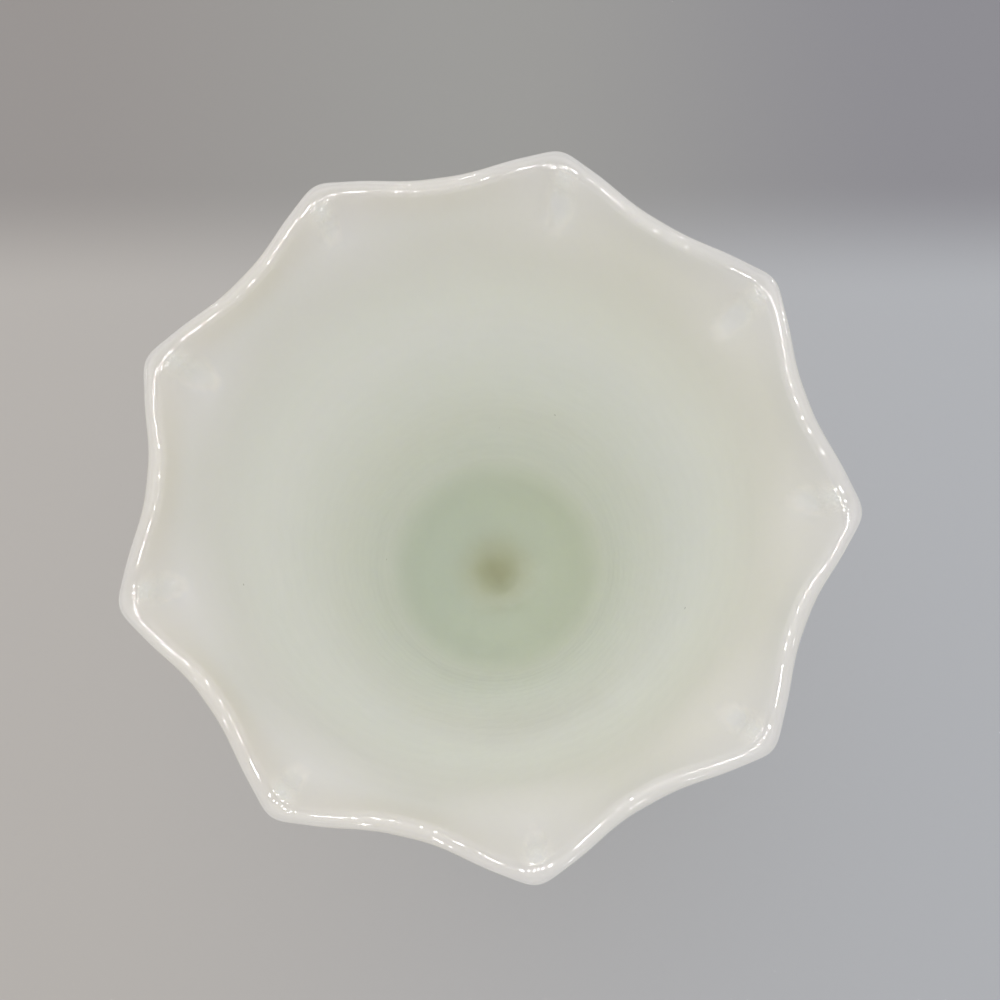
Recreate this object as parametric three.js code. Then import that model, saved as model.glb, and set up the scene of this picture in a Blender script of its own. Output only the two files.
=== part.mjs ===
// Milk glass vase with a nine-point crimped rim, in millimetres, +Z up.
// The origin is the middle of the rest face under the foot.
// Three gathers of glass are set one on the other: foot, knop and bowl.

import * as THREE from "three";

// Rim of the bowl
const POINTS = 9; // points pressed round the rim
const FIRST_POINT = 36; // degrees from +X to the first point
const ARC_REACH = 69.8; // axis to the outside of the lip, midway between two points
const POINT_REACH = 7.2; // how much further out than the arcs a point stands
const POINT_DROP = 1.5; // how much lower than the arcs a point lies
const POINT_SHARPNESS = 1.25; // 1 is an even wave, more gives narrow points and wide arcs
const CRIMP_DEPTH = 22; // rim down to where the wall is round again
const LIP_THICKNESS = 4;

// The points are pressed by hand, so they are a little uneven
const POINT_SHIFTS = [-1, 0, 1, 0.5, 0, -0.5, 0, 0, -1]; // degrees round the rim
const POINT_EXTRAS = [-0.5, 0, 0, 0, 0.5, -0.5, 0.5, -0.5, 0]; // mm of reach

// The flute that the crimping prong leaves behind each point
const FLUTE_DEPTH = 1.3;
const FLUTE_WIDTH = 8;
const FLUTE_LENGTH = 15;
const FLUTE_FADE = 6; // how far above its lower end the flute starts to run out

// Inside of the bowl, from the rim down
const TRUMPET_DEPTH = 129; // rim to shoulder
const TRUMPET_SAG = 1.6; // how far the wall is drawn in from a straight cone
const SHOULDER_RADIUS = 39.4;
const CHAMBER_DEPTH = 34; // shoulder to the edge of the floor
const CHAMBER_FULLNESS = 0.7; // share of that depth over which the chamber stays wide
const FLOOR_RADIUS = 24.3;
const FLOOR_DISH = 4; // how far the floor is dished
const FLOOR_TUCK = 9; // how far out from the floor's edge the chamber is drawn in line with it
const DIMPLE_RADIUS = 9;
const DIMPLE_DEPTH = 2; // in the middle of the dish, with a soft edge

// Glass of the bowl
const SHOULDER_WALL = 5.5;
const FLOOR_THICKNESS = 9;
const BELLY_FULLNESS = 0.65; // share of the belly's height over which it stays wide
const BELLY_SPREAD = 15; // how far out from the seat the belly's underside is drawn
const BELLY_LIFT = 7; // how far that underside rises

// Knop between bowl and foot
const SEAT_RADIUS = 17; // flat faces where the gathers meet
const KNOP_HEIGHT = 8;
const KNOP_BULGE = 4.5; // how far the knop swells past the seats

// Foot
const FOOT_RADIUS = 45;
const FOOT_HEIGHT = 17;
const FOOT_EDGE = 5; // thickness of the foot's rounded edge
const REST_WIDTH = 5; // flat ring that touches the table
const HOLLOW_HEIGHT = 7; // hollow under the foot
const FOOT_SWEEP = 0.38; // how low the top of the foot is drawn, as a share of its rise

// Fineness of the surfaces
const BOWL_SIDES = POINTS * 12;
const SMALL_SIDES = 60;
const TRUMPET_RINGS = 10;
const TRUMPET_CROWDING = 2; // above 1 the rings crowd towards the rim
const CHAMBER_RINGS = 6;
const BELLY_RINGS = 7;
const LIP_RINGS = 5;
const FLOOR_RINGS = 7;
const FOOT_RINGS = 6;
const EDGE_RINGS = 6;

// Heights that follow from the sizes above
const footTopZ = FOOT_HEIGHT;
const bowlSeatZ = footTopZ + KNOP_HEIGHT;
const dimpleZ = bowlSeatZ + FLOOR_THICKNESS;
const floorZ = dimpleZ + DIMPLE_DEPTH;
const floorEdgeZ = floorZ + FLOOR_DISH;
const shoulderZ = floorEdgeZ + CHAMBER_DEPTH;
const rimZ = shoulderZ + TRUMPET_DEPTH;

const degrees = THREE.MathUtils.degToRad;
const point = (r, z) => new THREE.Vector2(r, z);

// A point on a circle in the profile, with the angle measured up from the outward side
function onArc(centre, radius, angle) {
  return point(centre.x + radius * Math.cos(angle), centre.y + radius * Math.sin(angle));
}

// Glass milky enough to be opaque, cooler or warmer by the gather it comes from
function milkGlass(name, color) {
  return new THREE.MeshStandardMaterial({ name, color, roughness: 0.12, metalness: 0 });
}

// A closed profile turned round +Z; the first side starts in line with a rim point
function turned(profile, sides) {
  const start = degrees(FIRST_POINT) + Math.PI / 2;
  const geometry = new THREE.LatheGeometry(profile, sides, start);
  geometry.rotateX(Math.PI / 2);
  return geometry;
}

// The middle of the trumpet's wall, from the shoulder up to the lip
function trumpetMiddle() {
  const low = point(SHOULDER_RADIUS + SHOULDER_WALL / 2, shoulderZ);
  const high = point(ARC_REACH - LIP_THICKNESS / 2, rimZ - LIP_THICKNESS / 2);
  const halfway = point((low.x + high.x) / 2 - 2 * TRUMPET_SAG, (low.y + high.y) / 2);
  return new THREE.QuadraticBezierCurve(low, halfway, high);
}

// Rings up both faces of the trumpet, closer together where the rim is crimped
function trumpetFaces() {
  const middle = trumpetMiddle();
  const inner = [];
  const outer = [];
  for (let ring = 0; ring <= TRUMPET_RINGS; ring += 1) {
    const t = 1 - (1 - ring / TRUMPET_RINGS) ** TRUMPET_CROWDING;
    const at = middle.getPoint(t);
    const along = middle.getTangent(t);
    const half = THREE.MathUtils.lerp(SHOULDER_WALL, LIP_THICKNESS, t) / 2;
    const outward = point(along.y * half, -along.x * half);
    inner.push(at.clone().sub(outward));
    outer.push(at.clone().add(outward));
  }
  return { inner, outer, lowTangent: middle.getTangent(0), highTangent: middle.getTangent(1) };
}

// The rounded lip, over the top from the outer face to the inner face
function lipRings(along) {
  const centre = point(ARC_REACH - LIP_THICKNESS / 2, rimZ - LIP_THICKNESS / 2);
  const leaning = Math.atan2(-along.x, along.y);
  const rings = [];
  for (let ring = 1; ring < LIP_RINGS; ring += 1) {
    rings.push(onArc(centre, LIP_THICKNESS / 2, leaning + (Math.PI * ring) / LIP_RINGS));
  }
  return rings;
}

// The inside below the shoulder: it carries on down the trumpet's line, then rounds in to the floor
function chamberRings(shoulder, along) {
  const edge = point(FLOOR_RADIUS, floorEdgeZ);
  const reach = (CHAMBER_DEPTH * CHAMBER_FULLNESS) / along.y;
  const full = point(shoulder.x - along.x * reach, shoulder.y - along.y * reach);
  const edgeSlope = (2 * FLOOR_DISH) / FLOOR_RADIUS;
  const tuck = point(edge.x + FLOOR_TUCK, edge.y + FLOOR_TUCK * edgeSlope);
  return new THREE.CubicBezierCurve(shoulder, full, tuck, edge).getPoints(CHAMBER_RINGS).slice(1);
}

// Height of the dished floor and the soft dimple in its middle
function floorHeight(radius) {
  const dish = FLOOR_DISH * (radius / FLOOR_RADIUS) ** 2;
  const nearAxis = Math.min(radius / DIMPLE_RADIUS, 1);
  return floorZ + dish - (DIMPLE_DEPTH / 2) * (1 + Math.cos(Math.PI * nearAxis));
}

// The floor from its edge in to the axis
function floorRings() {
  const rings = [];
  for (let ring = 1; ring <= FLOOR_RINGS; ring += 1) {
    const radius = FLOOR_RADIUS * (1 - ring / FLOOR_RINGS);
    rings.push(point(radius, floorHeight(radius)));
  }
  return rings;
}

// The outside below the shoulder: it carries on down the trumpet's line, then draws in to the seat
function bellyRings(shoulder, along) {
  const seat = point(SEAT_RADIUS, bowlSeatZ);
  const reach = ((shoulder.y - seat.y) * BELLY_FULLNESS) / along.y;
  const full = point(shoulder.x - along.x * reach, shoulder.y - along.y * reach);
  const tuck = point(seat.x + BELLY_SPREAD, seat.y + BELLY_LIFT);
  return new THREE.CubicBezierCurve(seat, tuck, full, shoulder).getPoints(BELLY_RINGS).slice(0, -1);
}

// The hand's unevenness at one point, counted round and round the rim
function unevenness(list, index) {
  const turnsOff = ((index % POINTS) + POINTS) % POINTS;
  return list[turnsOff % list.length];
}

function pointAzimuth(index) {
  return FIRST_POINT + (360 / POINTS) * index + unevenness(POINT_SHIFTS, index);
}

// Where an angle falls between the rim's uneven points
function alongRim(angle) {
  let before = Math.floor(((angle - FIRST_POINT) * POINTS) / 360) - 1;
  while (pointAzimuth(before + 1) <= angle) {
    before += 1;
  }
  const from = pointAzimuth(before);
  const share = (angle - from) / (pointAzimuth(before + 1) - from);
  const nearest = share < 0.5 ? before : before + 1;
  return {
    share,
    offset: degrees(angle - pointAzimuth(nearest)),
    extra: unevenness(POINT_EXTRAS, nearest),
  };
}

// How far one spot of the round bowl goes out and down when the rim is pressed into points
function pressedBy(angle, radius, depth) {
  const here = alongRim(angle);
  const fold = (0.5 + 0.5 * Math.cos(2 * Math.PI * here.share)) ** POINT_SHARPNESS;
  const hold = fold * (1 - depth / CRIMP_DEPTH) ** 2;
  const across = Math.exp(-((2 * here.offset * radius / FLUTE_WIDTH) ** 2));
  const along = 1 - THREE.MathUtils.smoothstep(depth, FLUTE_LENGTH - FLUTE_FADE, FLUTE_LENGTH);
  return {
    out: hold * (POINT_REACH + here.extra) + FLUTE_DEPTH * across * along,
    down: hold * POINT_DROP,
  };
}

// Crimps the upper part of the turned bowl
function crimp(geometry) {
  const place = geometry.attributes.position;
  for (let index = 0; index < place.count; index += 1) {
    const x = place.getX(index);
    const y = place.getY(index);
    const z = place.getZ(index);
    const depth = rimZ - z;
    if (depth < CRIMP_DEPTH) {
      const radius = Math.hypot(x, y);
      const pressed = pressedBy(THREE.MathUtils.radToDeg(Math.atan2(y, x)), radius, depth);
      const wider = 1 + pressed.out / radius;
      place.setXYZ(index, x * wider, y * wider, z - pressed.down);
    }
  }
}

function makeBowl() {
  const { inner, outer, lowTangent, highTangent } = trumpetFaces();
  const profile = [
    point(0, bowlSeatZ),
    ...bellyRings(outer[0], lowTangent),
    ...outer,
    ...lipRings(highTangent),
    ...inner.toReversed(),
    ...chamberRings(inner[0], lowTangent),
    ...floorRings(),
  ];
  const geometry = turned(profile, BOWL_SIDES);
  crimp(geometry);
  const bowl = new THREE.Mesh(geometry, milkGlass("milk_glass_bowl", 0xe3e4da));
  bowl.name = "bowl";
  return bowl;
}

// A flattened ball of glass with a flat seat above and below
function makeKnop() {
  const profile = [point(0, footTopZ)];
  for (let ring = 0; ring <= EDGE_RINGS; ring += 1) {
    const angle = -Math.PI / 2 + (Math.PI * ring) / EDGE_RINGS;
    profile.push(point(
      SEAT_RADIUS + KNOP_BULGE * Math.cos(angle),
      footTopZ + (KNOP_HEIGHT / 2) * (1 + Math.sin(angle)),
    ));
  }
  profile.push(point(0, bowlSeatZ));
  const knop = new THREE.Mesh(turned(profile, SMALL_SIDES), milkGlass("milk_glass_knop", 0xdfe1d6));
  knop.name = "knop";
  return knop;
}

// A spread foot: flat rest ring, rounded edge, a sweep up to the seat, hollow underneath
function makeFoot() {
  const edgeRadius = FOOT_RADIUS - FOOT_EDGE / 2;
  const hollowRadius = edgeRadius - REST_WIDTH;
  const profile = [];
  for (let ring = 0; ring <= FOOT_RINGS; ring += 1) {
    const angle = (Math.PI / 2) * (1 - ring / FOOT_RINGS);
    profile.push(point(hollowRadius * Math.cos(angle), HOLLOW_HEIGHT * Math.sin(angle)));
  }
  const edge = point(edgeRadius, FOOT_EDGE / 2);
  for (let ring = 0; ring <= EDGE_RINGS; ring += 1) {
    profile.push(onArc(edge, FOOT_EDGE / 2, -Math.PI / 2 + (Math.PI * ring) / EDGE_RINGS));
  }
  const edgeTop = point(edgeRadius, FOOT_EDGE);
  const rise = footTopZ - FOOT_EDGE;
  const sweep = point(SEAT_RADIUS + rise * FOOT_SWEEP, FOOT_EDGE + rise * FOOT_SWEEP);
  const seat = point(SEAT_RADIUS, footTopZ);
  profile.push(...new THREE.QuadraticBezierCurve(edgeTop, sweep, seat).getPoints(FOOT_RINGS).slice(1));
  profile.push(point(0, footTopZ));
  const foot = new THREE.Mesh(turned(profile, SMALL_SIDES), milkGlass("milk_glass_foot", 0xe1e2d8));
  foot.name = "foot";
  return foot;
}

const group = new THREE.Group();
group.name = "milk_glass_vase";
group.add(makeFoot(), makeKnop(), makeBowl());

export default group;
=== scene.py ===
# %% [markdown]
# # A milk glass vase with a crimped rim
#
# This lesson dresses a footed vase of opaque white glass, seen from above. On the real thing a
# deep bowl is blown in a mould, the hot rim is pressed into nine points, and the bowl stands on
# a short knop and a spread foot. Everything is in metres with +Z up, and the vase's axis is the
# Z axis. The solid model gives the true sizes, and each piece here is a finer skin of one solid.
#
# A glass vase could be sculpted, or carved out of a block with modifiers. It is really turned
# and then pressed, so this lesson does the same: it turns a profile round the axis, then moves
# the rim's points with one formula. That keeps the wall's thickness true everywhere.

# %% Load the solid model
import math

import bpy
import numpy as np
from mathutils import Matrix, Vector


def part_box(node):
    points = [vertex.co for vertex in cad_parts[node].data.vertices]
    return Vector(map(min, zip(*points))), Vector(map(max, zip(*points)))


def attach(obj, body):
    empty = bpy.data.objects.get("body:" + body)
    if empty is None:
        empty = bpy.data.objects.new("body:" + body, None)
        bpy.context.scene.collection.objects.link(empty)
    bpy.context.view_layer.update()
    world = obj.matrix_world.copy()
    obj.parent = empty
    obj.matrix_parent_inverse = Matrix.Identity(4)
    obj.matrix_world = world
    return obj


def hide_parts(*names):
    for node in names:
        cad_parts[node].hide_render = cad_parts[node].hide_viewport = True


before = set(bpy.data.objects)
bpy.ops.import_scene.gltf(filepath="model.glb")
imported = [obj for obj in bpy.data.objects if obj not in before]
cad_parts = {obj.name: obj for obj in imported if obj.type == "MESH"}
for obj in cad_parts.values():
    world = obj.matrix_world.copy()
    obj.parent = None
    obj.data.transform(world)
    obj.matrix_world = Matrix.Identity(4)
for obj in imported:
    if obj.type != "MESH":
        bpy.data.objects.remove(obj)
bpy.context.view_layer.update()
MM = 0.001

# %% [markdown]
# ## Sizes that the solids give
#
# The heights at which the gathers of glass meet, and the foot's and knop's reach, are read from
# the solids, so the skins always sit exactly on them.

# %% Read the meeting heights and the reach of the round pieces
foot_low, foot_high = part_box("foot")
_, knop_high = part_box("knop")
bowl_low, bowl_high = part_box("bowl")
rest_z = foot_low.z
foot_top_z = foot_high.z
bowl_seat_z = bowl_low.z
rim_z = bowl_high.z
foot_radius = foot_high.x
knop_radius = knop_high.x
heights = [round(z / MM, 1) for z in (rest_z, foot_top_z, bowl_seat_z, rim_z)]
print("rest, seats and rim at", heights, "mm")

# %% [markdown]
# ## Curves for profiles
#
# Blown glass has no straight lines. A Bezier curve with three or four control points gives each
# stretch of the profile its slow swell, and quarter ellipses give the rounded edges. The
# helpers return rows of (radius, height).

# %% Bezier curves and elliptic arcs
def bezier(points, count):
    """Rows along a Bezier curve: neighbouring control points are mixed until one is left."""
    step = np.linspace(0, 1, count)[:, None, None]
    mixed = np.repeat(np.array(points, float)[None], count, axis=0)
    while mixed.shape[1] > 1:
        mixed = mixed[:, :-1] * (1 - step) + mixed[:, 1:] * step
    return mixed[:, 0]


def arc(centre, reach, height, start, end, count):
    """Rows along an elliptic arc, with angles in degrees measured up from the outward side."""
    angle = np.radians(np.linspace(start, end, count))
    return np.column_stack([centre[0] + reach * np.cos(angle), centre[1] + height * np.sin(angle)])


print("a test arc ends at", arc((0, 0), 1, 2, 0, 90, 5)[-1].round(3))

# %% [markdown]
# ## The trumpet
#
# The wall of the trumpet is thick at the shoulder and thins to the lip, because the glass
# stretches as it is opened. The middle of the wall is drawn first, as one gently sagging curve,
# and the two faces are set off from it by half the thickness. The rings crowd towards the rim,
# where the crimping will need them.

# %% The trumpet's wall
ARC_REACH = 69.8 * MM
LIP_THICKNESS = 4 * MM
TRUMPET_DEPTH = 129 * MM
TRUMPET_SAG = 1.6 * MM
SHOULDER_RADIUS = 39.4 * MM
SHOULDER_WALL = 5.5 * MM
TRUMPET_RINGS = 46
TRUMPET_CROWDING = 1.6

shoulder_z = rim_z - TRUMPET_DEPTH
lip_centre = np.array([ARC_REACH - LIP_THICKNESS / 2, rim_z - LIP_THICKNESS / 2])


def trumpet_faces():
    """Rows up the inner face, rows up the outer face, and the wall's direction at both ends."""
    low = np.array([SHOULDER_RADIUS + SHOULDER_WALL / 2, shoulder_z])
    halfway = (low + lip_centre) / 2 - np.array([2 * TRUMPET_SAG, 0])
    share = 1 - (1 - np.linspace(0, 1, TRUMPET_RINGS)) ** TRUMPET_CROWDING
    share = share[:, None]
    middle = (1 - share) ** 2 * low + 2 * share * (1 - share) * halfway + share**2 * lip_centre
    along = (1 - share) * (halfway - low) + share * (lip_centre - halfway)
    along = along / np.linalg.norm(along, axis=1)[:, None]
    half = (SHOULDER_WALL * (1 - share) + LIP_THICKNESS * share) / 2
    outward = np.column_stack([along[:, 1], -along[:, 0]]) * half
    return middle - outward, middle + outward, along[0], along[-1]


inner_face, outer_face, along_low, along_high = trumpet_faces()
print("trumpet rings:", len(inner_face), "inside at the shoulder:", (inner_face[0] / MM).round(1))

# %% [markdown]
# ## Lip and belly
#
# The lip is rounded by reheating it in the fire, so its section is half a circle. Below the
# shoulder the outer face carries on down the trumpet's line, so no edge shows there, and then
# tucks in to a narrow seat.

# %% The outside of the bowl
LIP_RINGS = 13
SEAT_RADIUS = 17 * MM
BELLY_FULLNESS = 0.65
BELLY_SPREAD = 15 * MM
BELLY_LIFT = 7 * MM
BELLY_ROWS = 26


def lip_rows():
    """Over the top of the lip, from the outer face to the inner face."""
    leaning = math.degrees(math.atan2(-along_high[0], along_high[1]))
    radius = LIP_THICKNESS / 2
    return arc(lip_centre, radius, radius, leaning, leaning + 180, LIP_RINGS)[1:-1]


def belly_rows():
    """Up the outside from the seat to the shoulder."""
    seat = np.array([SEAT_RADIUS, bowl_seat_z])
    shoulder = outer_face[0]
    reach = (shoulder[1] - seat[1]) * BELLY_FULLNESS / along_low[1]
    tuck = seat + np.array([BELLY_SPREAD, BELLY_LIFT])
    return bezier([seat, tuck, shoulder - along_low * reach, shoulder], BELLY_ROWS)[:-1]


outside_rows = np.vstack([belly_rows(), outer_face, lip_rows()])
print("rows up the outside and over the lip:", len(outside_rows))

# %% [markdown]
# ## Chamber and floor
#
# The inner face also carries on below the shoulder, and rounds in to a dished floor. A soft
# dimple in its middle shows where the glass was held. The whole profile then runs in one go up
# the outside, over the lip and down the inside, so the skin will be closed.

# %% The inside of the bowl and the whole profile
CHAMBER_DEPTH = 34 * MM
CHAMBER_FULLNESS = 0.7
FLOOR_RADIUS = 24.3 * MM
FLOOR_DISH = 4 * MM
FLOOR_TUCK = 9 * MM
FLOOR_THICKNESS = 9 * MM
DIMPLE_RADIUS = 9 * MM
DIMPLE_DEPTH = 2 * MM
CHAMBER_ROWS = 64
FLOOR_ROWS = 20

floor_z = bowl_seat_z + FLOOR_THICKNESS + DIMPLE_DEPTH
floor_edge_z = floor_z + FLOOR_DISH


def chamber_rows():
    """Down the inside from the shoulder to the edge of the floor."""
    shoulder = inner_face[0]
    edge = np.array([FLOOR_RADIUS, floor_edge_z])
    reach = CHAMBER_DEPTH * CHAMBER_FULLNESS / along_low[1]
    edge_slope = 2 * FLOOR_DISH / FLOOR_RADIUS
    tuck = edge + np.array([FLOOR_TUCK, FLOOR_TUCK * edge_slope])
    return bezier([shoulder, shoulder - along_low * reach, tuck, edge], CHAMBER_ROWS)[1:]


def floor_rows():
    """In across the dished floor and the soft dimple, to the axis."""
    reach = np.linspace(FLOOR_RADIUS, 0, FLOOR_ROWS)[1:]
    dish = FLOOR_DISH * (reach / FLOOR_RADIUS) ** 2
    bell = 0.5 + 0.5 * np.cos(math.pi * np.minimum(reach / DIMPLE_RADIUS, 1))
    return np.column_stack([reach, floor_z + dish - DIMPLE_DEPTH * bell])


bowl_profile = np.vstack([
    [[0, bowl_seat_z]],
    outside_rows,
    inner_face[::-1],
    chamber_rows(),
    floor_rows(),
])
print("rows in the bowl's profile:", len(bowl_profile))

# %% [markdown]
# ## Turning a profile
#
# A lathe tool or a Screw modifier could turn the profile. Here the rings are made in code,
# because the rim has to be moved point by point afterwards, and the two ends close on the axis
# with fans of triangles, so the skin is one closed body. The sides crowd towards the nine
# points, where the finest shapes are.

# %% Turn rows round the axis
SIDES_PER_POINT = 48
SIDE_CROWDING = 0.6
POINTS = 9
FIRST_POINT = 36
SIDES = POINTS * SIDES_PER_POINT


def turn(profile, sides, crowding=0.0):
    """Vertices and faces of a profile that starts and ends on the axis, turned round +Z."""
    rings = profile[1:-1]
    angle = np.linspace(0, 2 * math.pi, sides, endpoint=False)
    angle = angle - crowding * np.sin(POINTS * (angle - math.radians(FIRST_POINT))) / POINTS
    reach = rings[:, 0][:, None]
    vertices = np.stack([
        reach * np.cos(angle),
        reach * np.sin(angle),
        np.repeat(rings[:, 1][:, None], sides, axis=1),
    ], axis=-1).reshape(-1, 3)
    low, high = len(vertices), len(vertices) + 1
    vertices = np.vstack([vertices, [[0, 0, profile[0][1]], [0, 0, profile[-1][1]]]])
    after = [(side + 1) % sides for side in range(sides)]
    faces = [(low, after[side], side) for side in range(sides)]
    for ring in range(len(rings) - 1):
        here, above = ring * sides, (ring + 1) * sides
        for side in range(sides):
            faces.append((here + side, here + after[side], above + after[side], above + side))
    last = (len(rings) - 1) * sides
    faces += [(high, last + side, last + after[side]) for side in range(sides)]
    return vertices, faces


print("sides round the bowl:", SIDES)

# %% [markdown]
# ## Making a piece
#
# A smooth mesh could be built with operators, but data calls do not depend on what is selected.
# Each piece rides on the vase's one body and stands for the solid of the same name. The file
# that the library keeps then names its glass by one slot, however the shader looks.

# %% A mesh object for one gather
def make_piece(name, vertices, faces, material):
    """A smooth mesh object that rides with the solid of the same name and stands for it."""
    mesh = bpy.data.meshes.new(name)
    mesh.from_pydata(vertices.tolist(), [], faces)
    mesh.validate()
    mesh.shade_smooth()
    mesh.materials.append(material)
    piece = bpy.data.objects.new(f"{name}_glass", mesh)
    bpy.context.scene.collection.objects.link(piece)
    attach(piece, "root")
    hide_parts(name)
    print(piece.name, len(mesh.vertices), "vertices", len(mesh.polygons), "faces")
    return piece


print("gathers to make:", sorted(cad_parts))

# %% [markdown]
# ## Pressing the rim
#
# While the rim is hot, a crimping tool pushes nine points outward and slightly down. Between
# them the rim stays on its arcs. The push fades out a short way below the rim, and each prong
# leaves a shallow flute behind its point. No two points come out quite alike, so each has its
# own small shift, reach and flute length.

# %% The formula of the crimp
POINT_REACH = 6.9 * MM
POINT_DROP = 1.5 * MM
POINT_SHARPNESS = 1.25
CRIMP_DEPTH = 22 * MM
POINT_SHIFTS = np.array([-1, 0, 1, 0.5, 0, -0.5, 0, 0, -1])
POINT_EXTRAS = np.array([-0.5, 0, 0, 0, 0.5, -0.5, 0.5, -0.5, 0]) * MM
FLUTE_DEPTH = 1.3 * MM
FLUTE_WIDTH = 8 * MM
FLUTE_LENGTHS = np.array([15, 15, 11, 13, 12, 11, 11, 11, 13]) * MM
FLUTE_FADE = 5 * MM
OFF_AXIS = 1e-9


def smooth_step(value):
    """0 below 0, 1 above 1, and an even S between."""
    value = np.clip(value, 0, 1)
    return value * value * (3 - 2 * value)


def crimp(vertices):
    """Moves the vertices near the rim out and down, as the crimping tool does.

    OFF_AXIS only keeps the division by the reach good for the two vertices on the axis.
    """
    x, y, z = vertices.T
    depth = rim_z - z
    reach = np.hypot(x, y) + OFF_AXIS
    angle = np.degrees(np.arctan2(y, x))
    index = np.arange(-POINTS, 2 * POINTS)
    azimuth = FIRST_POINT + 360 / POINTS * index + POINT_SHIFTS[index % POINTS]
    before = np.searchsorted(azimuth, angle, side="right") - 1
    share = (angle - azimuth[before]) / (azimuth[before + 1] - azimuth[before])
    nearest = np.where(share < 0.5, before, before + 1)
    point = index[nearest] % POINTS
    fold = (0.5 + 0.5 * np.cos(2 * math.pi * share)) ** POINT_SHARPNESS
    hold = fold * np.clip(1 - depth / CRIMP_DEPTH, 0, None) ** 2
    aside = np.radians(angle - azimuth[nearest]) * reach
    across = np.exp(-((2 * aside / FLUTE_WIDTH) ** 2))
    length = FLUTE_LENGTHS[point]
    flute = FLUTE_DEPTH * across * (1 - smooth_step((depth - length + FLUTE_FADE) / FLUTE_FADE))
    near_rim = depth < CRIMP_DEPTH
    out = np.where(near_rim, hold * (POINT_REACH + POINT_EXTRAS[point]) + flute, 0)
    down = np.where(near_rim, hold * POINT_DROP, 0)
    wider = 1 + out / reach
    return np.column_stack([x * wider, y * wider, z - down])


print("points:", POINTS, "with flutes of", (FLUTE_LENGTHS / MM).round(1), "mm")

# %% [markdown]
# ## The scoops
#
# Inside each point the prong also leaves a scoop like a finger's mark: steep at its sides, with
# a round lower end that faces up. Its lighter look is painted into the colour by the prong marks,
# as a painted reflection. Only the inner face has it. It could be a modifier, but a formula keeps
# the outer face as the solid has it.

# %% Press the scoops into the inner face
SCOOP_DEPTH = 0.8 * MM
SCOOP_WIDTH = 6.5 * MM
SCOOP_TOP = 4 * MM
SCOOP_END = 2.5 * MM
CHATTER_WIDTH = 5 * MM
CHATTER_LENGTH = 7 * MM
SCOOP_LENGTHS = np.array([13, 12, 8, 11, 9, 8, 7, 9, 10]) * MM
SCOOP_ASIDE = np.array([-0.5, -2, 1.5, -2, -2, -1, 0.5, 0.5, 3]) * MM


def scoop(vertices, first_inner):
    """Presses the inner face, and tells how hard the prongs pressed and how much they shook."""
    x, y, z = vertices.T
    depth = rim_z - z
    reach = np.hypot(x, y) + OFF_AXIS
    angle = np.degrees(np.arctan2(y, x))
    step = 360 / POINTS
    nearest = np.round((angle - FIRST_POINT) / step).astype(int)
    point = nearest % POINTS
    azimuth = FIRST_POINT + step * nearest + POINT_SHIFTS[point]
    aside = np.radians(angle - azimuth) * reach - SCOOP_ASIDE[point]
    across = np.exp(-((2 * aside / SCOOP_WIDTH) ** 4))
    start = smooth_step((depth - SCOOP_TOP) / SCOOP_TOP)
    rounding = 2 * aside**2 / SCOOP_WIDTH
    end = 1 - smooth_step((depth + rounding - SCOOP_LENGTHS[point]) / SCOOP_END)
    inside = np.arange(len(x)) >= first_inner
    pressed = np.where(inside, across * start * end, 0)
    wider = 1 + SCOOP_DEPTH * pressed / reach
    rattle = np.exp(-((2 * aside / CHATTER_WIDTH) ** 2) - ((2 * depth / CHATTER_LENGTH - 1) ** 2))
    return np.column_stack([x * wider, y * wider, z]), pressed, np.where(inside, rattle, 0)


print("scoops end", (SCOOP_LENGTHS / MM).round(1), "mm below the rim")

# %% [markdown]
# ## Shader groups
#
# Six effects make the glass. Each is a node group with named inputs, so every material can take
# the ones that its piece needs and set its own amounts.
#
# - `glass_ripple` gives the height of the slow waves that a mould and the fire leave, and of
#   the faint rings that the turning leaves in the wall.
# - `gather_tint_and_painted_light` goes through three colours by height and mottles them: glass is
#   greener where it is thick, with painted shade there, and darker and warmer at the rim. Painted
#   light gives one side a cooler cast, and the lip has painted shade and a painted reflection of its
#   own.
# - `water_film_and_shade` gives the brownish film that old flower water leaves in a hollow, and
#   painted shade there.
# - `ash_specks` gives a few grey specks of ash and unmelted sand, as old pressed glass has.
# - `table_wear` gives fine scratches and dull rubbing below a height.
# - `prong_dents_and_reflection` paints a pale reflection and dents the glass where the crimping tool
#   pressed it.

# %% A helper for node groups
SOCKET_KINDS = {"value": "NodeSocketFloat", "color": "NodeSocketColor"}


def new_group(name, inputs, outputs):
    """A shader node group with float or colour sockets, and its two end nodes."""
    group = bpy.data.node_groups.new(name, "ShaderNodeTree")
    for label, kind, default in inputs:
        socket = group.interface.new_socket(label, in_out="INPUT", socket_type=SOCKET_KINDS[kind])
        socket.default_value = default
    for label, kind in outputs:
        group.interface.new_socket(label, in_out="OUTPUT", socket_type=SOCKET_KINDS[kind])
    return group, group.nodes.new("NodeGroupInput"), group.nodes.new("NodeGroupOutput")


print("kinds of socket in the groups:", sorted(SOCKET_KINDS))

# %% Helpers for single nodes
def math_node(tree, operation, first, second=None, clamp=False):
    """A Math node; each operand is a number or an output socket."""
    node = tree.nodes.new("ShaderNodeMath")
    node.operation = operation
    node.use_clamp = clamp
    for place, operand in enumerate([first, second]):
        if isinstance(operand, bpy.types.NodeSocket):
            tree.links.new(operand, node.inputs[place])
        elif operand is not None:
            node.inputs[place].default_value = operand
    return node.outputs[0]


def noise_node(tree, vector, scale, detail, roughness=0.5):
    """A Noise texture's value, from 0 to 1."""
    node = tree.nodes.new("ShaderNodeTexNoise")
    node.inputs["Scale"].default_value = scale
    node.inputs["Detail"].default_value = detail
    node.inputs["Roughness"].default_value = roughness
    tree.links.new(vector, node.inputs["Vector"])
    return node.outputs[0]


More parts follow.
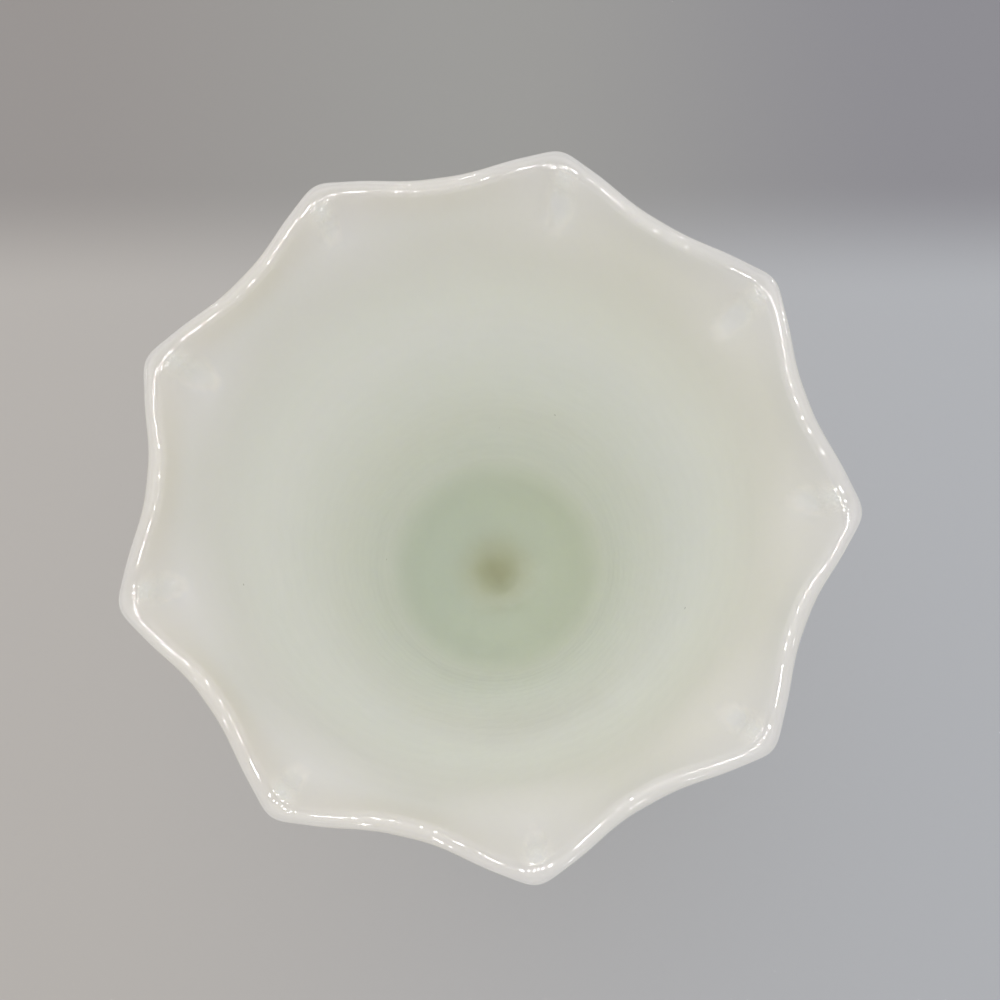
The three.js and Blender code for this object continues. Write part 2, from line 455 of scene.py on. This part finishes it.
def ramp_node(tree, value, low, high):
    """0 below low, 1 above high, smooth between; each limit is a number or a socket."""
    node = tree.nodes.new("ShaderNodeMapRange")
    node.interpolation_type = "SMOOTHSTEP"
    for label, operand in (("Value", value), ("From Min", low), ("From Max", high)):
        if isinstance(operand, bpy.types.NodeSocket):
            tree.links.new(operand, node.inputs[label])
        else:
            node.inputs[label].default_value = operand
    return node.outputs[0]


def mix_colors(tree, factor, first, second, blend="MIX"):
    """A colour Mix node; colours are sockets or tuples."""
    node = tree.nodes.new("ShaderNodeMix")
    node.data_type = "RGBA"
    node.blend_type = blend
    for place, operand in ((0, factor), (6, first), (7, second)):
        if isinstance(operand, bpy.types.NodeSocket):
            tree.links.new(operand, node.inputs[place])
        else:
            node.inputs[place].default_value = operand
    return node.outputs[2]


def object_place(tree):
    """The Object coordinate and its separate x, y and z."""
    place = tree.nodes.new("ShaderNodeTexCoord").outputs["Object"]
    split = tree.nodes.new("ShaderNodeSeparateXYZ")
    tree.links.new(place, split.inputs[0])
    return place, split.outputs


helpers = (math_node, noise_node, ramp_node, mix_colors, object_place)
print("helpers:", [helper.__name__ for helper in helpers])

# %% [markdown]
# ## Ripple
#
# Glass from a mould is never optically flat, and the fire softens what the mould leaves into
# slow waves. They could be modelled, but they are a tenth of a millimetre high, so a bump does
# it: a slow noise, a finer one for the skin, and faint rings from the turning.

# %% Slow waves of moulded, fire-polished glass
RING_SPACING = 7 * MM
RING_WANDER = 6.0
WANDER_SCALE = 30.0
WAVE_SCALE = 45.0
SKIN_SCALE = 300.0


def make_ripple_group():
    group, start, end = new_group(
        "glass_ripple",
        [("Wave", "value", 1.0), ("Skin", "value", 0.6), ("Rings", "value", 0.1)],
        [("Height", "value")],
    )
    place, split = object_place(group)
    wave = noise_node(group, place, WAVE_SCALE, 1.0)
    wave = math_node(group, "MULTIPLY", wave, start.outputs["Wave"])
    skin = noise_node(group, place, SKIN_SCALE, 1.0)
    skin = math_node(group, "MULTIPLY", skin, start.outputs["Skin"])
    turns = math_node(group, "MULTIPLY", split["Z"], 2 * math.pi / RING_SPACING)
    wander = noise_node(group, place, WANDER_SCALE, 0.0)
    wander = math_node(group, "MULTIPLY", wander, RING_WANDER)
    turns = math_node(group, "SINE", math_node(group, "ADD", turns, wander))
    turns = math_node(group, "MULTIPLY", turns, start.outputs["Rings"])
    total = math_node(group, "ADD", math_node(group, "ADD", wave, skin), turns)
    group.links.new(total, end.inputs["Height"])
    return group


ripple_group = make_ripple_group()
print("made", ripple_group.name)

# %% [markdown]
# ## Tint
#
# White glass is faintly green where it is thick, as at the floor, and there it is also painted
# darker: painted shade for the deep bowl. Towards the rim it turns darker and warmer. A measured
# thickness would need a ray test, but on a turned piece the height tells as much, so two ramps
# along Z go through three colours. Painted light gives a cooler cast towards -X and a warmer one
# towards +X. The lip itself gets painted shade, a little darker as it gives light away on both
# sides, and a painted reflection of the table's tones: pinker left, cooler right.

# %% Colour by how thick the glass is, with painted shade and painted light
CLOUD_SCALE = 38.0
CLOUD_FROM = 0.35
CLOUD_TO = 0.7
CLOUD_COLOR = (0.66, 0.7, 0.64, 1)
LIGHT_CAST_HALF_WIDTH = 50 * MM


def make_tint_and_light_group():
    group, start, end = new_group(
        "gather_tint_and_painted_light",
        [
            ("Thick", "color", (0.79, 0.818, 0.754, 1)),
            ("Wall", "color", (0.97, 0.983, 0.918, 1)),
            ("Rim", "color", (0.828, 0.811, 0.765, 1)),
            ("Thick To", "value", 0.041),
            ("Wall From", "value", 0.066),
            ("Wall To", "value", 0.14),
            ("Rim From", "value", 0.19),
            ("Mottle", "value", 0.04),
            ("Painted Cool Light", "color", (0.985, 0.997, 1.03, 1)),
            ("Painted Warm Light", "color", (1.0, 1.0, 0.985, 1)),
            ("Lip From", "value", 0.192),
            ("Lip Full", "value", 0.202),
            ("Lip Left Shade And Reflection", "color", (0.945, 0.915, 0.875, 1)),
            ("Lip Right Shade And Reflection", "color", (0.925, 0.93, 0.965, 1)),
        ],
        [("Color", "color")],
    )
    place, split = object_place(group)
    # The low colour is greener for thick glass and darker as painted shade for the deep bowl.
    low = ramp_node(group, split["Z"], start.outputs["Thick To"], start.outputs["Wall From"])
    high = ramp_node(group, split["Z"], start.outputs["Wall To"], start.outputs["Rim From"])
    color = mix_colors(group, low, start.outputs["Thick"], start.outputs["Wall"])
    color = mix_colors(group, high, color, start.outputs["Rim"])
    cloud = noise_node(group, place, CLOUD_SCALE, 3.0, 0.6)
    cloud = ramp_node(group, cloud, CLOUD_FROM, CLOUD_TO)
    amount = math_node(group, "MULTIPLY", cloud, start.outputs["Mottle"])
    milky = mix_colors(group, amount, color, CLOUD_COLOR)
    # Painted light: a cooler cast towards -X and a warmer one towards +X.
    across = ramp_node(group, split["X"], -LIGHT_CAST_HALF_WIDTH, LIGHT_CAST_HALF_WIDTH)
    cast = mix_colors(group, across, start.outputs["Painted Cool Light"], start.outputs["Painted Warm Light"])
    opal_and_painted_light = mix_colors(group, 1.0, milky, cast, "MULTIPLY")
    # Painted shade and a painted reflection of the table's tones on the lip.
    lip = ramp_node(group, split["Z"], start.outputs["Lip From"], start.outputs["Lip Full"])
    lip_shade_and_reflection = mix_colors(group, across, start.outputs["Lip Left Shade And Reflection"], start.outputs["Lip Right Shade And Reflection"])
    opal_and_painted_light = mix_colors(group, lip, opal_and_painted_light, lip_shade_and_reflection, "MULTIPLY")
    group.links.new(opal_and_painted_light, end.inputs["Color"])
    return group


tint_and_light_group = make_tint_and_light_group()
print("made", tint_and_light_group.name)

# %% [markdown]
# ## Water film
#
# The last drops of water dry in the dimple and leave a thin brown film, and the same mask darkens
# the middle of the bowl's floor as painted shade. It is a stain without any thickness, so it is a
# mask by distance from the axis, with an edge that noise makes uneven.

# %% The film that flower water leaves, and painted shade in the middle of the floor
STAIN_SCALE = 160.0
STAIN_WANDER = 4 * MM


def make_film_and_shade_group():
    group, start, end = new_group(
        "water_film_and_shade",
        [("Reach", "value", 0.021), ("Up To", "value", 0.045), ("Amount", "value", 0.5)],
        [("Mask", "value")],
    )
    place, split = object_place(group)
    flat = group.nodes.new("ShaderNodeCombineXYZ")
    group.links.new(split["X"], flat.inputs["X"])
    group.links.new(split["Y"], flat.inputs["Y"])
    length = group.nodes.new("ShaderNodeVectorMath")
    length.operation = "LENGTH"
    group.links.new(flat.outputs[0], length.inputs[0])
    uneven = noise_node(group, place, STAIN_SCALE, 3.0, 0.6)
    uneven = math_node(group, "MULTIPLY", uneven, STAIN_WANDER)
    away = math_node(group, "ADD", length.outputs["Value"], uneven)
    # This mask gives the film and also paints shade in the middle of the bowl's floor.
    near = ramp_node(group, away, start.outputs["Reach"], 0.0)
    inside = math_node(group, "LESS_THAN", split["Z"], start.outputs["Up To"])
    mask = math_node(group, "MULTIPLY", near, inside)
    mask = math_node(group, "MULTIPLY", mask, start.outputs["Amount"])
    group.links.new(mask, end.inputs["Mask"])
    return group


film_and_shade_group = make_film_and_shade_group()
print("made", film_and_shade_group.name)

# %% [markdown]
# ## Specks
#
# Here and there a grain of ash or sand is caught in the glass. Single grains could be placed by
# hand, but a Voronoi texture strews them at random, one to a cell, and only the few whose
# middle lies near the surface show.

# %% Specks of ash and unmelted sand
SPECK_SPACING = 17 * MM
SPECK_RADIUS = 0.4 * MM


def make_speck_group():
    group, start, end = new_group("ash_specks", [("Amount", "value", 0.6)], [("Mask", "value")])
    place, _ = object_place(group)
    cells = group.nodes.new("ShaderNodeTexVoronoi")
    cells.inputs["Scale"].default_value = 1 / SPECK_SPACING
    group.links.new(place, cells.inputs["Vector"])
    edge = SPECK_RADIUS / SPECK_SPACING
    spot = ramp_node(group, cells.outputs["Distance"], edge, edge / 2)
    mask = math_node(group, "MULTIPLY", spot, start.outputs["Amount"])
    group.links.new(mask, end.inputs["Mask"])
    return group


speck_group = make_speck_group()
print("made", speck_group.name)

# %% [markdown]
# ## Wear
#
# Each time the vase is moved, the rest ring is rubbed on the table. The scratches are a fine
# noise that is stretched one way, and they fade out a few millimetres up.

# %% Scratches and rubbing low on the glass
SCRATCH_SCALE = 700.0
SCRATCH_STRETCH = (1, 6, 1)
SCRATCH_TURN = 0.5
SCRATCH_FROM = 0.48
SCRATCH_TO = 0.62


def make_wear_group():
    group, start, end = new_group(
        "table_wear",
        [("Amount", "value", 1.0), ("Up To", "value", 0.006)],
        [("Mask", "value")],
    )
    place, split = object_place(group)
    stretch = group.nodes.new("ShaderNodeMapping")
    stretch.inputs["Scale"].default_value = SCRATCH_STRETCH
    stretch.inputs["Rotation"].default_value = (0, 0, SCRATCH_TURN)
    group.links.new(place, stretch.inputs["Vector"])
    scratch = noise_node(group, stretch.outputs[0], SCRATCH_SCALE, 4.0, 0.7)
    scratch = ramp_node(group, scratch, SCRATCH_FROM, SCRATCH_TO)
    low_down = ramp_node(group, split["Z"], start.outputs["Up To"], 0.0)
    mask = math_node(group, "MULTIPLY", scratch, low_down)
    mask = math_node(group, "MULTIPLY", mask, start.outputs["Amount"], clamp=True)
    group.links.new(mask, end.inputs["Mask"])
    return group


wear_group = make_wear_group()
print("made", wear_group.name)

# %% [markdown]
# ## Prong marks and painted reflection
#
# Where the prongs pressed and where they shook, the colour is painted paler: a painted reflection
# of the light that the scoops catch. The prongs also shake a little as they are pulled out and
# leave small dents. The bowl's mesh carries both as attributes, from the same formula that presses
# the scoops, so colour and dents always lie where the scoops are.

# %% The marks of the prongs and their painted reflection
DENT_SCALE = 900.0


def make_dent_and_reflection_group():
    group, start, end = new_group(
        "prong_dents_and_reflection",
        [("Amount", "value", 1.0), ("Chatter", "value", 6.0)],
        [("Mask", "value"), ("Height", "value")],
    )
    place, _ = object_place(group)
    pressed = group.nodes.new("ShaderNodeAttribute")
    pressed.attribute_name = "pressed"
    rattled = group.nodes.new("ShaderNodeAttribute")
    rattled.attribute_name = "chatter"
    # Where the prongs pressed or shook, the mask paints a paler colour: a painted reflection.
    painted_reflection_area = math_node(group, "MAXIMUM", pressed.outputs["Fac"], rattled.outputs["Fac"])
    mask = math_node(group, "MULTIPLY", painted_reflection_area, start.outputs["Amount"])
    group.links.new(mask, end.inputs["Mask"])
    dents = noise_node(group, place, DENT_SCALE, 1.0)
    dents = math_node(group, "MULTIPLY", dents, rattled.outputs["Fac"])
    dents = math_node(group, "MULTIPLY", dents, start.outputs["Chatter"])
    group.links.new(dents, end.inputs["Height"])
    return group


dent_and_reflection_group = make_dent_and_reflection_group()
print("made", dent_and_reflection_group.name)

# %% [markdown]
# ## The glass
#
# Milk glass is white all through, with a hard, clear gloss. Light still goes one or two
# centimetres into it and comes out elsewhere, so the thin wall glows evenly and the thick floor
# looks darker and greener. A Principled shader that is all subsurface scattering gives part of
# that, with no transmission, and painted shade in the height tint adds the rest.

# %% Glossy glass that light sinks into
GLASS_IOR = 1.5
GLOSS = 0.02
LIGHT_REACH = 9 * MM
LIGHT_SPREAD = (1.0, 1.0, 0.9)
BUMP_STRENGTH = 0.6
BUMP_HEIGHT = 0.12 * MM
SPECK_COLOR = (0.3, 0.3, 0.25, 1)


def place_group(material, group, values):
    """The group as a node in this material, with its inputs set by name."""
    node = material.node_tree.nodes.new("ShaderNodeGroup")
    node.node_tree = group
    for label, value in values.items():
        node.inputs[label].default_value = value
    return node


def milk_glass(name, tint_and_light_values):
    """Glossy white glass that light sinks into, tinted by height with painted shade and light, with
    ripples and a few specks.
    """
    material = bpy.data.materials.new(name)
    material.use_nodes = True
    tree = material.node_tree
    shader = tree.nodes["Principled BSDF"]
    shader.inputs["IOR"].default_value = GLASS_IOR
    shader.inputs["Roughness"].default_value = GLOSS
    shader.inputs["Subsurface Weight"].default_value = 1.0
    shader.inputs["Subsurface Radius"].default_value = LIGHT_SPREAD
    shader.inputs["Subsurface Scale"].default_value = LIGHT_REACH
    tint = place_group(material, tint_and_light_group, tint_and_light_values)
    specked = place_group(material, speck_group, {})
    color = mix_colors(tree, specked.outputs["Mask"], tint.outputs["Color"], SPECK_COLOR)
    ripple = place_group(material, ripple_group, {})
    bump = tree.nodes.new("ShaderNodeBump")
    bump.inputs["Strength"].default_value = BUMP_STRENGTH
    bump.inputs["Distance"].default_value = BUMP_HEIGHT
    tree.links.new(ripple.outputs["Height"], bump.inputs["Height"])
    tree.links.new(bump.outputs[0], shader.inputs["Normal"])
    tree.links.new(color, shader.inputs["Base Color"])
    return material


# The foot and knop take the darker, greener low colour, partly painted shade, only just above the
# table.
FOOT_TINT_AND_SHADE = {"Thick To": 0.0, "Wall From": 0.03}
bowl_glass = milk_glass("bowl_glass", {})
knop_glass = milk_glass("knop_glass", FOOT_TINT_AND_SHADE)
foot_glass = milk_glass("foot_glass", FOOT_TINT_AND_SHADE)
print("light scatters over about", round(LIGHT_REACH / MM, 1), "mm in the glass")

# %% [markdown]
# ## Film, painted shade, marks, painted reflection and rubbing on the glass
#
# What years of use and the tool have left lies over the plain glass, with painted shade in the
# middle of the bowl's floor and a painted reflection in the prong marks. It could be one big
# material with switches, but each helper here takes the link that feeds a socket and puts one more
# layer in front of it, so only the pieces that need a layer carry it.

# %% Layers over the plain glass
# The film's colour is partly a stain and partly painted shade in the middle of the bowl's floor.
FILM_AND_SHADE_COLOR = (0.6, 0.58, 0.36, 1)
# The prong marks' colour is a painted reflection.
PAINTED_REFLECTION_COLOR = (1.0, 0.95, 0.845, 1)
FILM_AND_SHADE_AMOUNT = 0.75
FILM_DULLNESS = 0.3
WEAR_DULLNESS = 0.5


def linked_to(socket):
    """The output that feeds an input socket."""
    return socket.links[0].from_socket


def dull(material, mask, amount):
    """Makes the gloss rougher where the mask is."""
    tree = material.node_tree
    rougher = math_node(tree, "MULTIPLY", mask, amount)
    rough = math_node(tree, "ADD", rougher, GLOSS)
    tree.links.new(rough, tree.nodes["Principled BSDF"].inputs["Roughness"])


def add_film_and_shade(material, amount):
    """Old flower water in the dimple: a brownish, duller film, and painted shade there."""
    tree = material.node_tree
    base = tree.nodes["Principled BSDF"].inputs["Base Color"]
    # The film paints shade in the middle of the bowl's floor as well as a stain.
    filmed_and_shaded = place_group(material, film_and_shade_group, {"Amount": amount}).outputs["Mask"]
    tree.links.new(mix_colors(tree, filmed_and_shaded, linked_to(base), FILM_AND_SHADE_COLOR), base)
    dull(material, filmed_and_shaded, FILM_DULLNESS)


def add_dents_and_painted_reflection(material):
    """The dented places where the prongs pressed, painted pale as a painted reflection."""
    tree = material.node_tree
    base = tree.nodes["Principled BSDF"].inputs["Base Color"]
    height = tree.nodes["Bump"].inputs["Height"]
    marks = place_group(material, dent_and_reflection_group, {})
    # Painted reflection: the marks lighten the colour.
    tree.links.new(mix_colors(tree, marks.outputs["Mask"], linked_to(base), PAINTED_REFLECTION_COLOR), base)
    tree.links.new(math_node(tree, "ADD", linked_to(height), marks.outputs["Height"]), height)


add_film_and_shade(bowl_glass, FILM_AND_SHADE_AMOUNT)
add_dents_and_painted_reflection(bowl_glass)
dull(foot_glass, place_group(foot_glass, wear_group, {}).outputs["Mask"], WEAR_DULLNESS)
for glass in (bowl_glass, knop_glass, foot_glass):
    print(glass.name, "has", len(glass.node_tree.nodes), "nodes")

# %% [markdown]
# ## The bowl
#
# Everything is ready for the bowl: its profile is turned, the rim is crimped, and the scoops
# are pressed into the inner face. The two attributes go onto the mesh for its material.

# %% Make the bowl
bowl_vertices, bowl_faces = turn(bowl_profile, SIDES, SIDE_CROWDING)
bowl_vertices, pressed, chatter = scoop(crimp(bowl_vertices), len(outside_rows) * SIDES)
bowl = make_piece("bowl", bowl_vertices, bowl_faces, bowl_glass)
bowl.data.attributes.new("pressed", "FLOAT", "POINT").data.foreach_set("value", pressed)
bowl.data.attributes.new("chatter", "FLOAT", "POINT").data.foreach_set("value", chatter)

# %% [markdown]
# ## Knop and foot
#
# The knop is a ball of glass flattened between two seats. The foot is another gather, spread
# with a paddle while it spins: a rounded edge, a sweep up to the knop, a flat ring to rest on
# and a shallow hollow underneath.

# %% Make the knop and the foot
REST_WIDTH = 5 * MM
FOOT_EDGE = 5 * MM
HOLLOW_HEIGHT = 7 * MM
FOOT_SWEEP = 0.38
REST_CORNER = 0.6 * MM
SMALL_SIDES = 240
KNOP_ROWS = 24
HOLLOW_ROWS = 26
HOLLOW_END = 4
EDGE_ROWS = 16
SWEEP_ROWS = 26


def knop_rows():
    """A flat seat, the swelling and the flat seat above."""
    middle = (SEAT_RADIUS, (foot_top_z + bowl_seat_z) / 2)
    half_height = (bowl_seat_z - foot_top_z) / 2
    swell = arc(middle, knop_radius - SEAT_RADIUS, half_height, -90, 90, KNOP_ROWS)
    return np.vstack([[[0, foot_top_z]], swell, [[0, bowl_seat_z]]])


def foot_rows():
    """The hollow, the rest ring, the rounded edge and the sweep up to the seat."""
    edge_radius = foot_radius - FOOT_EDGE / 2
    hollow_radius = edge_radius - REST_WIDTH
    hollow = arc((0, rest_z), hollow_radius, HOLLOW_HEIGHT, 90, HOLLOW_END, HOLLOW_ROWS)
    ring = [[hollow_radius + REST_CORNER, rest_z], [edge_radius, rest_z]]
    round_off = FOOT_EDGE / 2
    edge = arc((edge_radius, rest_z + round_off), round_off, round_off, -90, 90, EDGE_ROWS)[1:]
    rise = foot_top_z - FOOT_EDGE
    low = [edge_radius, FOOT_EDGE]
    bend = [SEAT_RADIUS + rise * FOOT_SWEEP, FOOT_EDGE + rise * FOOT_SWEEP]
    sweep = bezier([low, bend, [SEAT_RADIUS, foot_top_z]], SWEEP_ROWS)[1:]
    return np.vstack([hollow, ring, edge, sweep, [[0, foot_top_z]]])


make_piece("knop", *turn(knop_rows(), SMALL_SIDES), knop_glass)
make_piece("foot", *turn(foot_rows(), SMALL_SIDES), foot_glass)

# %% [markdown]
# ## The table
#
# The vase stands on a plain pale sheet. Painted shade makes it darker behind the vase, and painted
# warm and cool light makes it pinker to the left and cooler to the right. It is painted on the flat
# sheet by position, so nothing stands behind the vase to hide it from another side.

# %% The painted table
TABLE_SIZE = 6.0
TABLE_DROP = 0.05 * MM
TABLE_ROUGHNESS = 0.9
# The near colours are painted warm light to the left and cool light to the right; the far ones are
# painted shade.
NEAR_LEFT_WARM_LIT = (0.585, 0.563, 0.545, 1)
NEAR_RIGHT_COOL_LIT = (0.553, 0.573, 0.615, 1)
SHADED_FAR_LEFT = (0.394, 0.375, 0.371, 1)
SHADED_FAR_MIDDLE = (0.416, 0.416, 0.412, 1)
SHADED_FAR_RIGHT = (0.343, 0.342, 0.378, 1)
TABLE_LIGHT_HALF_WIDTH = 0.2
BEHIND_FROM = 0.119
BEHIND_TO = 0.175
BEHIND_SLANT = 0.0325


def table_material():
    """Pale, with painted warm light left and cool light right, and painted shade behind a slanted
    line.
    """
    material = bpy.data.materials.new("table_sheet")
    material.use_nodes = True
    tree = material.node_tree
    shader = tree.nodes["Principled BSDF"]
    shader.inputs["Roughness"].default_value = TABLE_ROUGHNESS
    shader.inputs["Specular IOR Level"].default_value = 0.0
    _, split = object_place(tree)
    sideways = ramp_node(tree, split["X"], -TABLE_LIGHT_HALF_WIDTH, TABLE_LIGHT_HALF_WIDTH)
    near = mix_colors(tree, sideways, NEAR_LEFT_WARM_LIT, NEAR_RIGHT_COOL_LIT)
    left_half = ramp_node(tree, split["X"], -TABLE_LIGHT_HALF_WIDTH, 0.0)
    right_half = ramp_node(tree, split["X"], 0.0, TABLE_LIGHT_HALF_WIDTH)
    far = mix_colors(tree, left_half, SHADED_FAR_LEFT, SHADED_FAR_MIDDLE)
    far = mix_colors(tree, right_half, far, SHADED_FAR_RIGHT)
    # Painted shade behind a slanted line.
    slant = math_node(tree, "MULTIPLY", split["X"], BEHIND_SLANT)
    behind = math_node(tree, "ADD", split["Y"], slant)
    behind = ramp_node(tree, behind, BEHIND_FROM, BEHIND_TO)
    color = mix_colors(tree, behind, near, far)
    tree.links.new(color, shader.inputs["Base Color"])
    return material


table_mesh = bpy.data.meshes.new("table")
edge = TABLE_SIZE / 2
table_z = rest_z - TABLE_DROP
corners = [(x, y, table_z) for x, y in ((-edge, -edge), (edge, -edge), (edge, edge), (-edge, edge))]
table_mesh.from_pydata(corners, [], [(0, 1, 2, 3)])
table_mesh.materials.append(table_material())
table = bpy.data.objects.new("table", table_mesh)
bpy.context.scene.collection.objects.link(table)
print("table", TABLE_SIZE, "m wide at", round(table_z / MM, 2), "mm")

# %% [markdown]
# ## Light
#
# The room is white and evenly lit, so most of the light comes from all round. One wide soft lamp
# behind and above makes the near wall a little lighter. A stronger lamp from one side would
# leave the deep bowl dark on the other.

# %% World and lamp
ROOM_COLOR = (1.0, 0.985, 0.965, 1)
ROOM_LIGHT = 0.715
LAMP_PLACE = (-0.12, 0.33, 0.9)
LAMP_WIDTH = 0.8
LAMP_POWER = 1.1

world = bpy.data.worlds.new("room")
bpy.context.scene.world = world
world.use_nodes = True
world.node_tree.nodes["Background"].inputs["Color"].default_value = ROOM_COLOR
world.node_tree.nodes["Background"].inputs["Strength"].default_value = ROOM_LIGHT

light = bpy.data.lights.new("lamp_over", "AREA")
light.shape = "DISK"
light.size = LAMP_WIDTH
light.energy = LAMP_POWER
light.color = ROOM_COLOR[:3]
lamp = bpy.data.objects.new("lamp_over", light)
bpy.context.scene.collection.objects.link(lamp)
lamp.location = LAMP_PLACE
towards = Vector((0, 0, rim_z)) - lamp.location
lamp.rotation_euler = towards.to_track_quat("-Z", "Y").to_euler()
lamp.visible_camera = False
print("room light", ROOM_LIGHT, "lamp", LAMP_POWER, "W at", LAMP_PLACE)

# %% [markdown]
# ## A ring of small lights
#
# The glossy lip shows a broken line: the mirror image of small lights set in a ring high above.
# They could be lamps, but lamps this small would give almost no light and much noise. Here they
# are bright bars that only mirrored rays meet, so they draw the dashes and light nothing. More
# and shorter bars would run together into one line, because few rays find each of them.

# %% Bars of light for the lip to mirror
RING_LIGHTS = 24
RING_PLACE = (0, -0.02)
RING_HEIGHT = 0.8
RING_REACH = 0.7
BAR_WIDTH = 45 * MM
BAR_LENGTH = 250 * MM
BAR_LIGHT = 45.0


def light_bars():
    """Corners and faces of thin flat bars that point at the middle of a ring."""
    corners, faces = [], []
    height = rim_z + RING_HEIGHT
    for turn_angle in np.linspace(0, 2 * math.pi, RING_LIGHTS, endpoint=False):
        outward = np.array([math.cos(turn_angle), math.sin(turn_angle)])
        sideways = np.array([-outward[1], outward[0]]) * BAR_WIDTH / 2
        first = len(corners)
        for along, side in ((-1, -1), (1, -1), (1, 1), (-1, 1)):
            spot = np.array(RING_PLACE) + outward * (RING_REACH + along * BAR_LENGTH / 2)
            corners.append((*(spot + sideways * side), height))
        faces.append(tuple(range(first, first + 4)))
    return corners, faces


def bar_material():
    """Plain white light."""
    material = bpy.data.materials.new("bar_light")
    material.use_nodes = True
    tree = material.node_tree
    tree.nodes.clear()
    glow = tree.nodes.new("ShaderNodeEmission")
    glow.inputs["Strength"].default_value = BAR_LIGHT
    end = tree.nodes.new("ShaderNodeOutputMaterial")
    tree.links.new(glow.outputs[0], end.inputs["Surface"])
    material.cycles.emission_sampling = "NONE"
    return material


def mirror_only(name, corners, faces, material):
    """A thing on the set that only mirrored rays meet."""
    mesh = bpy.data.meshes.new(name)
    mesh.from_pydata(corners, [], faces)
    mesh.materials.append(material)
    prop = bpy.data.objects.new(name, mesh)
    bpy.context.scene.collection.objects.link(prop)
    prop.visible_camera = False
    prop.visible_diffuse = False
    prop.visible_transmission = False
    prop.visible_volume_scatter = False
    prop.visible_shadow = False
    print(name, "faces:", len(faces))


mirror_only("light_ring", *light_bars(), bar_material())

# %% [markdown]
# ## A black card over the rim
#
# Each side of the lip should mirror the lights across from it, and not those above itself. A
# black card with a round hole does that, as in a photographer's studio. It hangs just over the
# rim, and it too is met by mirrored rays alone.

# %% The card
CARD_HEIGHT = 0.1
CARD_INSIDE = 0.13
CARD_OUTSIDE = 0.17
CARD_SIDES = 48


def card_material():
    """Black that gives nothing back."""
    material = bpy.data.materials.new("black_card")
    material.use_nodes = True
    shader = material.node_tree.nodes["Principled BSDF"]
    shader.inputs["Base Color"].default_value = (0, 0, 0, 1)
    shader.inputs["Specular IOR Level"].default_value = 0.0
    return material


def card_ring():
    """A flat ring over the rim."""
    angle = np.linspace(0, 2 * math.pi, CARD_SIDES, endpoint=False)
    circle = np.column_stack([np.cos(angle), np.sin(angle)])
    height = np.full((CARD_SIDES, 1), rim_z + CARD_HEIGHT)
    corners = np.vstack([
        np.hstack([circle * CARD_INSIDE + RING_PLACE, height]),
        np.hstack([circle * CARD_OUTSIDE + RING_PLACE, height]),
    ])
    faces = []
    for side in range(CARD_SIDES):
        after = (side + 1) % CARD_SIDES
        faces.append((side, after, CARD_SIDES + after, CARD_SIDES + side))
    return corners.tolist(), faces


mirror_only("black_card", *card_ring(), card_material())

# %% [markdown]
# ## Camera
#
# The picture is taken by hand from just above the vase, looking almost straight down into it,
# a little from the front. The lens is that of a small camera: a picture as wide as it is far.
# Inside a white bowl light goes from wall to wall many times, so many bounces are followed.

# %% The camera above the rim
CAMERA_PLACE = (4.42 * MM, -36.86 * MM, rim_z + 200 * MM)
CAMERA_TURN = math.radians(2.2)
CAMERA_TILT = math.radians(9.84)
CAMERA_ROLL = math.radians(-3.97)
CAMERA_LENS = 36
CAMERA_NEAR = 5 * MM
WALL_BOUNCES = 12
ALL_BOUNCES = 16

camera_data = bpy.data.cameras.new("camera")
camera_data.lens = CAMERA_LENS
camera_data.sensor_width = CAMERA_LENS
camera_data.clip_start = CAMERA_NEAR
camera = bpy.data.objects.new("camera", camera_data)
bpy.context.scene.collection.objects.link(camera)
turned = Matrix.Rotation(CAMERA_TURN, 4, "Z") @ Matrix.Rotation(CAMERA_TILT, 4, "X")
camera.matrix_world = Matrix.Translation(CAMERA_PLACE) @ turned @ Matrix.Rotation(CAMERA_ROLL, 4, "Z")
bpy.context.scene.camera = camera
bpy.context.scene.view_settings.view_transform = "Standard"
bpy.context.scene.cycles.diffuse_bounces = WALL_BOUNCES
bpy.context.scene.cycles.max_bounces = ALL_BOUNCES
print("camera at", [round(x / MM, 1) for x in camera.location], "mm")
